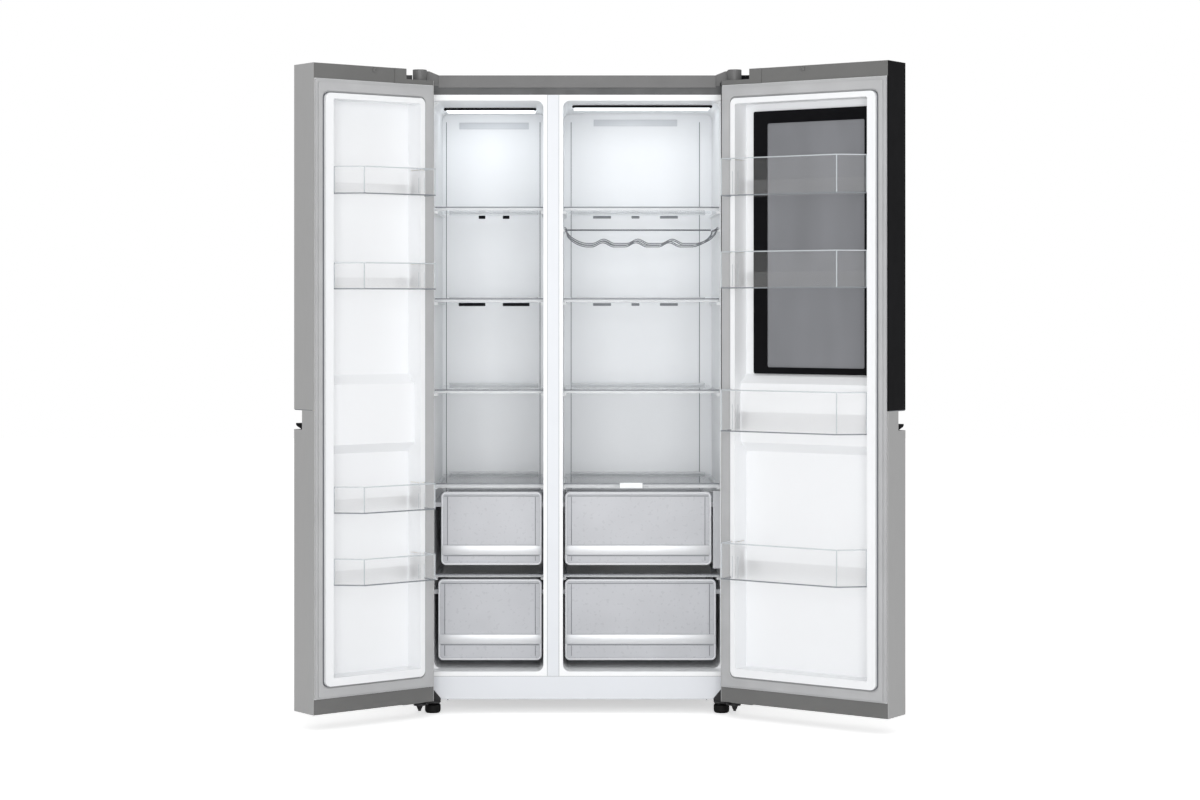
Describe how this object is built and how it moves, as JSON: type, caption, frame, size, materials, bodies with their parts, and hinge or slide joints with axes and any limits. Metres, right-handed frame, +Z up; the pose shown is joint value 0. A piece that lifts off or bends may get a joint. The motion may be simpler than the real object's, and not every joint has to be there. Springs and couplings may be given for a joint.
{
  "type": "side by side refrigerator",
  "caption": "Free-standing side by side refrigerator with both doors open, showing glass shelves, drawers, door baskets, a bottle rack and a window in the wider door.",
  "frame": {"origin": "middle of the open appliance's outline, on the floor under the feet", "axes": "+X to the right seen from the front, +Y from the doors to the back, +Z up"},
  "size_m": [1.6415, 1.0082, 1.79],
  "materials": {
    "case_paint": "satin",
    "door_steel": "fine vertical brushing",
    "black_frame": "gloss",
    "black_glass": "gloss",
    "white_liner": "semi gloss",
    "foam": "matte",
    "gasket_grey": "matte",
    "cap_grey": "satin",
    "clear_plastic": "clear",
    "drawer_plastic": "translucent",
    "shelf_glass": "clear",
    "shelf_trim": "satin silver",
    "lamp_lens": "frosted",
    "duct_white": "semi gloss",
    "rail_plastic": "satin",
    "hinge_black": "satin black",
    "cover_grey": "satin",
    "foot_black": "matte",
    "zinc_steel": "zinc plated",
    "compressor_black": "gloss black",
    "coil_black": "black",
    "fin_aluminium": "mill",
    "fan_plastic": "matte",
    "tray_plastic": "matte",
    "rack_plastic": "clear grey",
    "roller_nylon": "matte",
    "window_glass": "tinted"
  },
  "bodies": {
    "cabinet": {"case_shell": "case_paint", "cabinet_foam": "foam", "freezer_liner": "white_liner", "fridge_liner": "white_liner", "mullion_strip": "white_liner", "top_cover": "cover_grey", "toe_cover": "white_liner", "back_panel": "zinc_steel", "base_plate": "zinc_steel", "machine_room_wall": "zinc_steel", "machine_cover": "cover_grey", "compressor": "compressor_black", "condenser_coil": "coil_black", "drip_tray": "tray_plastic", "condenser_fan_frame": "tray_plastic", "evaporator": "fin_aluminium", "freezer_duct_panel": "duct_white", "fridge_duct_panel": "duct_white", "ceiling_lamps": "lamp_lens", "freezer_shelves": "shelf_glass", "fridge_shelves": "shelf_glass", "freezer_shelf_trims": "shelf_trim", "fridge_shelf_trims": "shelf_trim", "drawer_rails": "rail_plastic", "bottle_rack": "rack_plastic", "upper_hinges": "hinge_black", "hinge_covers": "cover_grey", "lower_hinges": "hinge_black", "roller_brackets": "zinc_steel", "cord_gland": "foot_black"},
    "freezer_door": {"freezer_door_upper_panel": "door_steel", "freezer_door_lower_panel": "door_steel", "freezer_door_foam": "foam", "freezer_door_liner": "white_liner", "freezer_door_gasket": "gasket_grey", "freezer_door_caps": "cap_grey", "freezer_door_handle": "black_frame", "freezer_door_baskets": "clear_plastic"},
    "fridge_door": {"fridge_door_upper_panel": "black_frame", "fridge_door_front_glass": "black_glass", "fridge_door_lower_panel": "door_steel", "fridge_door_foam": "foam", "fridge_door_liner": "white_liner", "fridge_door_window": "window_glass", "fridge_door_window_frame": "black_frame", "fridge_door_gasket": "gasket_grey", "fridge_door_caps": "cap_grey", "fridge_door_handle": "black_frame", "fridge_door_baskets": "clear_plastic"},
    "condenser_fan": {"condenser_fan": "fan_plastic"},
    "evaporator_fan": {"evaporator_fan": "fan_plastic"},
    "humidity_slider": {"humidity_slider": "duct_white"},
    "freezer_upper_drawer": {"freezer_upper_drawer": "drawer_plastic"},
    "freezer_lower_drawer": {"freezer_lower_drawer": "drawer_plastic"},
    "fridge_upper_drawer": {"fridge_upper_drawer": "drawer_plastic"},
    "fridge_lower_drawer": {"fridge_lower_drawer": "drawer_plastic"},
    "left_foot": {"left_foot": "foot_black"},
    "right_foot": {"right_foot": "foot_black"},
    "left_roller": {"left_roller": "roller_nylon"},
    "right_roller": {"right_roller": "roller_nylon"}
  },
  "joints": [
    {"name": "freezer_door_hinge", "type": "hinge", "parent": "cabinet", "child": "freezer_door", "pos_m": [-0.49383, -0.18501, 0.9], "axis": [0, 0, -1], "range_deg": [-142, 0]},
    {"name": "fridge_door_hinge", "type": "hinge", "parent": "cabinet", "child": "fridge_door", "pos_m": [0.37917, -0.18501, 0.9], "axis": [0, 0, 1], "range_deg": [-145, 0]},
    {"name": "freezer_upper_drawer_slide", "type": "slide", "parent": "cabinet", "child": "freezer_upper_drawer", "axis": [0, -1, 0], "range_m": [0, 0.3]},
    {"name": "freezer_lower_drawer_slide", "type": "slide", "parent": "cabinet", "child": "freezer_lower_drawer", "axis": [0, -1, 0], "range_m": [0, 0.24]},
    {"name": "fridge_upper_drawer_slide", "type": "slide", "parent": "cabinet", "child": "fridge_upper_drawer", "axis": [0, -1, 0], "range_m": [0, 0.3]},
    {"name": "fridge_lower_drawer_slide", "type": "slide", "parent": "cabinet", "child": "fridge_lower_drawer", "axis": [0, -1, 0], "range_m": [0, 0.24]},
    {"name": "humidity_slide", "type": "slide", "parent": "cabinet", "child": "humidity_slider", "axis": [1, 0, 0], "range_m": [0, 0.024]},
    {"name": "condenser_fan_spin", "type": "hinge", "parent": "cabinet", "child": "condenser_fan", "pos_m": [-0.00733, 0.37399, 0.128], "axis": [1, 0, 0], "continuous": true},
    {"name": "evaporator_fan_spin", "type": "hinge", "parent": "cabinet", "child": "evaporator_fan", "pos_m": [-0.30583, 0.39399, 0.929], "axis": [0, 1, 0], "continuous": true},
    {"name": "left_foot_turn", "type": "hinge", "parent": "cabinet", "child": "left_foot", "pos_m": [-0.46083, -0.12201, 0.02], "axis": [0, 0, 1], "range_deg": [-1440, 1440]},
    {"name": "right_foot_turn", "type": "hinge", "parent": "cabinet", "child": "right_foot", "pos_m": [0.34617, -0.12201, 0.02], "axis": [0, 0, 1], "range_deg": [-1440, 1440]},
    {"name": "left_roller_spin", "type": "hinge", "parent": "cabinet", "child": "left_roller", "pos_m": [-0.45883, 0.44499, 0.017], "axis": [1, 0, 0], "continuous": true},
    {"name": "right_roller_spin", "type": "hinge", "parent": "cabinet", "child": "right_roller", "pos_m": [0.34417, 0.44499, 0.017], "axis": [1, 0, 0], "continuous": true}
  ]
}
